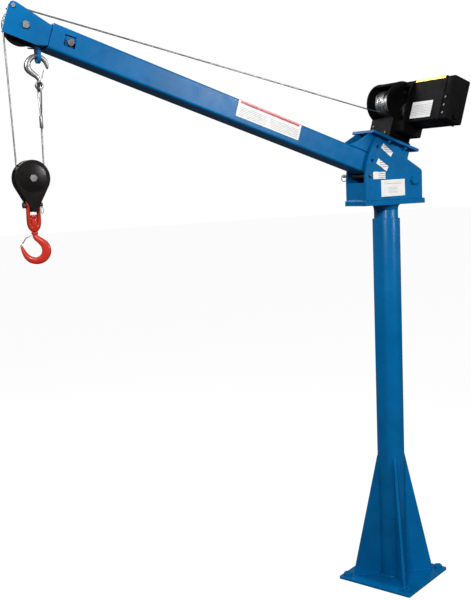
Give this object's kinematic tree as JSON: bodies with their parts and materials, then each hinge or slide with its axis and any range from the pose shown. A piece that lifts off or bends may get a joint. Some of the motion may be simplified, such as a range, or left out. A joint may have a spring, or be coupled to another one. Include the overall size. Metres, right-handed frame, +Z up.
{
  "type": "pedestal jib crane with electric winch",
  "caption": "Floor-bolted pedestal crane: swivelling head, telescoping boom with adjustable angle, electric winch, wire rope, snatch block and swivel hook.",
  "frame": {"origin": "centre of the base plate's underside, on the mast axis", "axes": "+Z up along the mast, boom towards -X, winch motor towards -Y"},
  "size_m": [1.6216, 0.4983, 2.0675],
  "materials": {
    "blue_paint": "gloss",
    "black_winch": "satin",
    "black_cap": "matte",
    "zinc": "satin",
    "wire_rope": "satin",
    "sheave_nylon": "satin",
    "block_black": "semi gloss",
    "red_paint": "gloss",
    "bronze": "satin",
    "label_white": "satin"
  },
  "bodies": {
    "base": {"base_plate": "blue_paint", "anchor_pads": "blue_paint", "mast_tube": "blue_paint", "base_gussets": "blue_paint", "mast_seat": "blue_paint", "thrust_washer": "bronze"},
    "yoke": {"swivel_spigot": "blue_paint", "yoke_floor": "blue_paint", "yoke_plates": "blue_paint", "yoke_front_web": "blue_paint", "pivot_bolt": "blue_paint", "yoke_labels": "label_white"},
    "angle_pin": {"angle_pin": "zinc", "angle_pin_ring": "zinc"},
    "boom": {"boom_outer_tube": "blue_paint", "clamp_bolt": "zinc", "pivot_sleeve": "zinc", "winch_brackets": "blue_paint", "winch_plate": "blue_paint", "winch_bolts": "zinc", "winch_foot": "black_winch", "winch_sides": "black_winch", "winch_tie_bars": "black_winch", "gear_housing": "black_winch", "motor_cover": "black_winch", "motor_end_cap": "black_cap", "cable_gland": "black_cap", "motor": "zinc", "reduction_gears": "zinc", "winch_screws": "zinc", "boom_labels": "label_white", "rope_run": "wire_rope"},
    "drum": {"winch_drum": "black_winch", "rope_on_drum": "wire_rope"},
    "tip": {"boom_inner_tube": "blue_paint", "tip_plates": "blue_paint", "tip_axle": "zinc", "tip_spacers": "zinc", "rope_keeper": "zinc", "hook_lug": "blue_paint", "rope_over_tip": "wire_rope"},
    "tip_sheave": {"tip_sheave": "sheave_nylon"},
    "line_hook": {"line_hook": "zinc", "thimble": "zinc", "ferrule": "zinc", "rope_eye": "wire_rope", "rope_dead_fall": "wire_rope"},
    "line_hook_latch": {"line_hook_latch": "zinc"},
    "dead_foot": {"rope_dead_foot": "wire_rope"},
    "line_swing": {"rope_lead_fall": "wire_rope"},
    "block": {"block_cheeks": "block_black", "block_axle": "zinc", "block_lug": "zinc", "rope_block_wrap": "wire_rope", "clevis_pin": "zinc", "cotter_ring": "zinc"},
    "block_sheave": {"block_sheave": "sheave_nylon"},
    "clevis": {"hook_clevis": "red_paint"},
    "load_hook": {"load_hook": "red_paint"},
    "load_hook_latch": {"load_hook_latch": "zinc"}
  },
  "joints": [
    {"name": "head_swivel", "type": "hinge", "parent": "base", "child": "yoke", "pos_m": [0, 0, 1.386], "axis": [0, 0, 1], "continuous": true},
    {"name": "boom_pitch", "type": "hinge", "parent": "yoke", "child": "boom", "pos_m": [0.0887, 0, 1.5228], "axis": [0, 1, 0], "range_deg": [0, 30]},
    {"name": "angle_pin_pull", "type": "slide", "parent": "yoke", "child": "angle_pin", "axis": [0, 1, 0], "range_m": [0, 0.16]},
    {"name": "drum_spin", "type": "hinge", "parent": "boom", "child": "drum", "pos_m": [0.042, 0, 1.80588], "axis": [0, 1, 0], "continuous": true},
    {"name": "boom_extend", "type": "slide", "parent": "boom", "child": "tip", "axis": [-0.9492, 0, 0.3148], "range_m": [0, 0.48]},
    {"name": "tip_sheave_spin", "type": "hinge", "parent": "tip", "child": "tip_sheave", "pos_m": [-1.36108, 0, 2.00365], "axis": [0, 1, 0], "continuous": true},
    {"name": "line_hook_hang", "type": "hinge", "parent": "tip", "child": "line_hook", "pos_m": [-1.32, 0, 1.8934], "axis": [0, 1, 0], "range_deg": [-41, 0]},
    {"name": "line_hook_latch_spring", "type": "hinge", "parent": "line_hook", "child": "line_hook_latch", "pos_m": [-1.3085, 0, 1.8615], "axis": [0, 1, 0], "range_deg": [-25, 0]},
    {"name": "dead_end_pay", "type": "slide", "parent": "line_hook", "child": "dead_foot", "axis": [0, 0, 1], "range_m": [-1.2, 0.07], "deforming": ["rope_dead_fall", "rope_dead_foot"]},
    {"name": "line_hang", "type": "hinge", "parent": "tip", "child": "line_swing", "pos_m": [-1.36108, 0, 2.00365], "axis": [0, 1, 0], "range_deg": [-31, 0]},
    {"name": "hoist", "type": "slide", "parent": "line_swing", "child": "block", "axis": [0, 0, 1], "range_m": [-1.15, 0.06], "deforming": ["rope_lead_fall"]},
    {"name": "block_sheave_spin", "type": "hinge", "parent": "block", "child": "block_sheave", "pos_m": [-1.3612, 0, 1.576], "axis": [0, 1, 0], "continuous": true},
    {"name": "clevis_swing", "type": "hinge", "parent": "block", "child": "clevis", "pos_m": [-1.3612, 0, 1.499], "axis": [1, 0, 0], "range_deg": [-10, 10]},
    {"name": "hook_swivel", "type": "hinge", "parent": "clevis", "child": "load_hook", "pos_m": [-1.3612, 0, 1.42], "axis": [0, 0, 1], "continuous": true},
    {"name": "load_hook_latch_spring", "type": "hinge", "parent": "load_hook", "child": "load_hook_latch", "pos_m": [-1.369, 0.00487, 1.411], "axis": [0.5299, 0.848, 0], "range_deg": [-22, 0]}
  ],
  "couplings": [
    {"joint": "drum_spin", "follows": "hoist", "rad_per_m": -43.2},
    {"joint": "tip_sheave_spin", "follows": "hoist", "rad_per_m": 38.095},
    {"joint": "block_sheave_spin", "follows": "hoist", "rad_per_m": 24.39},
    {"joint": "dead_end_pay", "follows": "hoist", "ratio": 1},
    {"joint": "line_hook_hang", "follows": "boom_pitch", "ratio": -1.333},
    {"joint": "line_hang", "follows": "boom_pitch", "ratio": -1}
  ]
}
